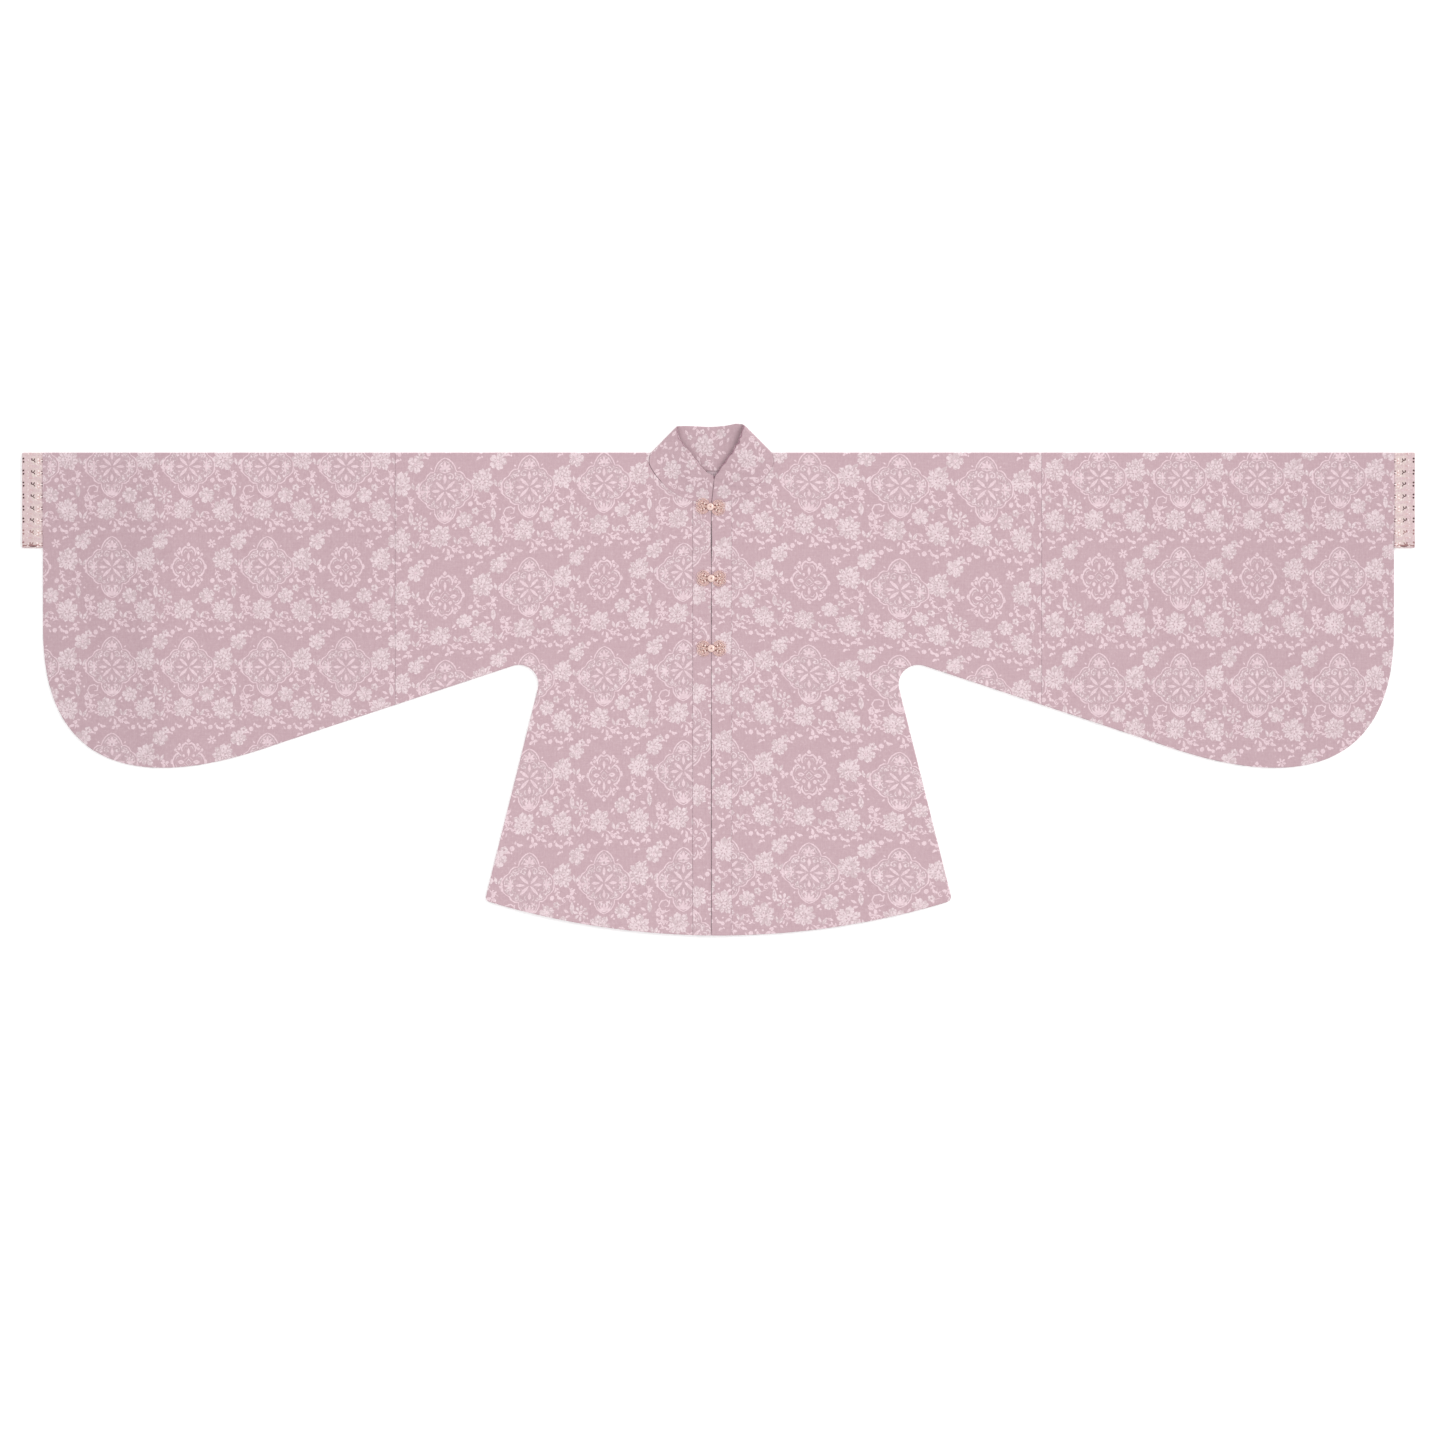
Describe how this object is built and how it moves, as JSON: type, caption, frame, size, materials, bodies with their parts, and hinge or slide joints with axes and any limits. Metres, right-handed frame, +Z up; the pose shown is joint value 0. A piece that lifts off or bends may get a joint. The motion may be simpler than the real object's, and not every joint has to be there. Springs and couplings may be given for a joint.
{
  "type": "hanfu jacket",
  "caption": "Short stand-collar jacket with deep lute-shaped sleeves, narrow cuffs and a centre-front opening, closed by metal clasps and laid flat.",
  "frame": {"origin": "on the surface that the garment lies on, at the centre of the bounding box in X and Y", "axes": "+X towards the wearer's left cuff, +Y from the hem to the collar, +Z up from the surface, out of the front of the garment"},
  "size_m": [2, 0.735, 0.0102],
  "materials": {
    "brocade": "dusty rose jacquard with a soft satin sheen and a tone-on-tone flower repeat",
    "cuff_trim": "pale rose woven trim with small gold-brown sprigs",
    "clasp_metal": "rose gold plated filigree"
  },
  "bodies": {
    "root": {"body_left": "brocade", "body_right": "brocade", "sleeve_left": "brocade", "sleeve_right": "brocade", "front_band_left": "brocade", "front_band_right": "brocade", "collar": "brocade", "cuff_left": "cuff_trim", "cuff_right": "cuff_trim", "clasp_1_ring": "clasp_metal", "clasp_1_knob": "clasp_metal", "clasp_2_ring": "clasp_metal", "clasp_2_knob": "clasp_metal", "clasp_3_ring": "clasp_metal", "clasp_3_knob": "clasp_metal"}
  },
  "joints": []
}
